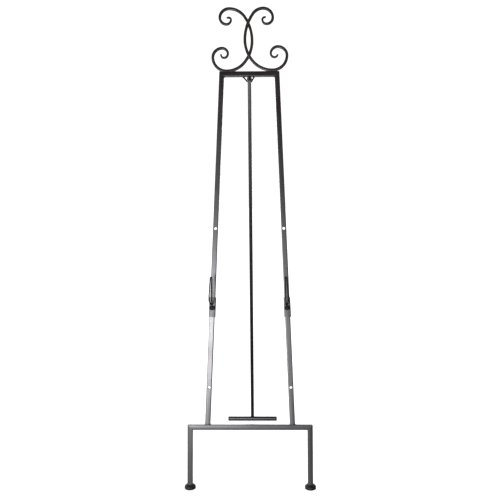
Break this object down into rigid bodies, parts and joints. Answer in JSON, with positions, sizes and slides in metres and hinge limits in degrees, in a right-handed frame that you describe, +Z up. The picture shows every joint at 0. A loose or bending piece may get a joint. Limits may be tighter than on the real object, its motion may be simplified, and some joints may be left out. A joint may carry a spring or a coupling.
{
  "type": "display easel",
  "caption": "Tall folding display easel of square steel tube with a forged double scroll on top, hinged rear leg with a T-shaped foot, and pinned hooks for a picture.",
  "frame": {"origin": "on the floor, below the middle of the open easel's outer box", "axes": "+Z up; +Y to the back, where the rear leg stands; +X to the right of someone facing the easel"},
  "size_m": [0.402, 0.6142, 1.4763],
  "materials": {
    "frame_tube": "satin",
    "scroll_bar": "satin",
    "rear_tube": "satin",
    "black_steel": "satin",
    "rubber": "matte",
    "plug": "matte"
  },
  "bodies": {
    "front_frame": {"base_crossbar": "frame_tube", "top_bar": "frame_tube", "scroll_left": "scroll_bar", "scroll_right": "scroll_bar", "hinge_lug": "black_steel", "hinge_rivet": "black_steel", "leg_stop_loop": "black_steel", "base_leg_left": "frame_tube", "upright_left": "frame_tube", "foot_left": "rubber", "hook_sleeve_left": "frame_tube", "hook_left": "black_steel", "base_leg_right": "frame_tube", "upright_right": "frame_tube", "foot_right": "rubber", "hook_sleeve_right": "frame_tube", "hook_right": "black_steel"},
    "rear_leg": {"rear_leg": "rear_tube", "rear_foot_bar": "rear_tube", "rear_foot_plug_left": "plug", "rear_foot_plug_right": "plug"},
    "left_lock_pin": {"lock_pin_left": "black_steel", "pull_ring_left": "black_steel"},
    "right_lock_pin": {"lock_pin_right": "black_steel", "pull_ring_right": "black_steel"}
  },
  "joints": [
    {"name": "rear_leg_fold", "type": "hinge", "parent": "front_frame", "child": "rear_leg", "pos_m": [0, -0.09096, 1.24951], "axis": [-1, 0, 0], "range_deg": [0, 25.6]},
    {"name": "left_pin_pull", "type": "slide", "parent": "front_frame", "child": "left_lock_pin", "axis": [0, -0.9877, 0.1564], "range_m": [0, 0.035]},
    {"name": "right_pin_pull", "type": "slide", "parent": "front_frame", "child": "right_lock_pin", "axis": [0, -0.9877, 0.1564], "range_m": [0, 0.035]}
  ]
}
